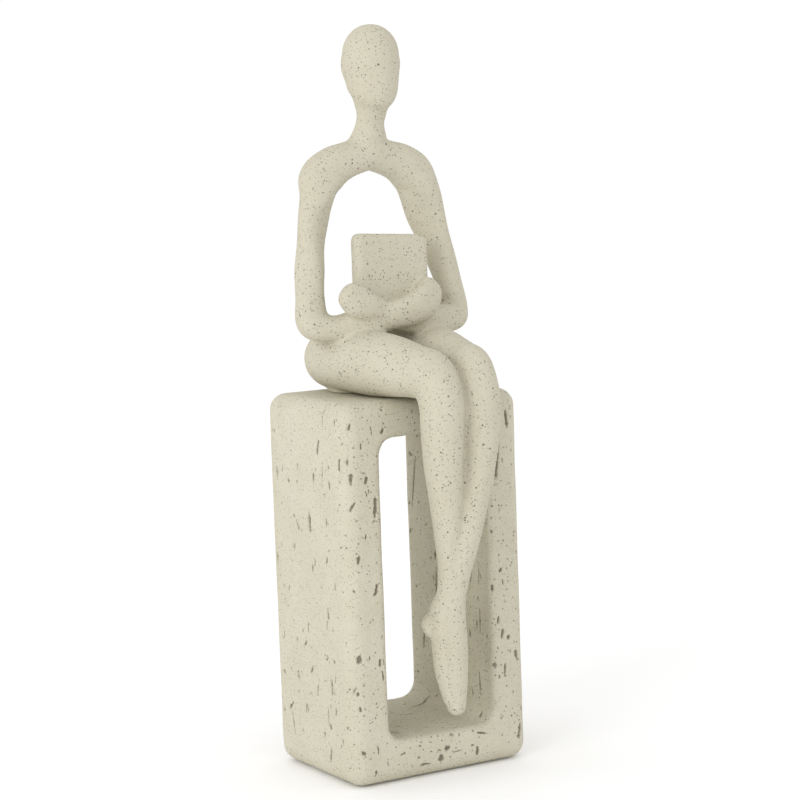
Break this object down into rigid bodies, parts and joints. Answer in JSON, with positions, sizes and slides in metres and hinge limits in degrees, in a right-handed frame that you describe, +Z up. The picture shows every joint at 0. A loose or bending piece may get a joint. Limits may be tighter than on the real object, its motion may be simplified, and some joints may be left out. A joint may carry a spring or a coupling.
{
  "type": "statuette",
  "caption": "Seated abstract figure reading a book, legs hanging in front of an upright open rectangular stone-look frame.",
  "frame": {"origin": "centre of the frame's flat underside, where the statuette stands", "axes": "+Z up, the figure faces -Y and its legs hang on the -Y side, +X runs across the frame's front"},
  "size_m": [0.0952, 0.108, 0.3437],
  "materials": {
    "pitted_stone": "matt, pitted like travertine, with fine specks",
    "speckled_casting": "smooth matt with fine dark specks"
  },
  "bodies": {
    "root": {"frame_base": "pitted_stone", "seated_figure": "speckled_casting"}
  },
  "joints": []
}
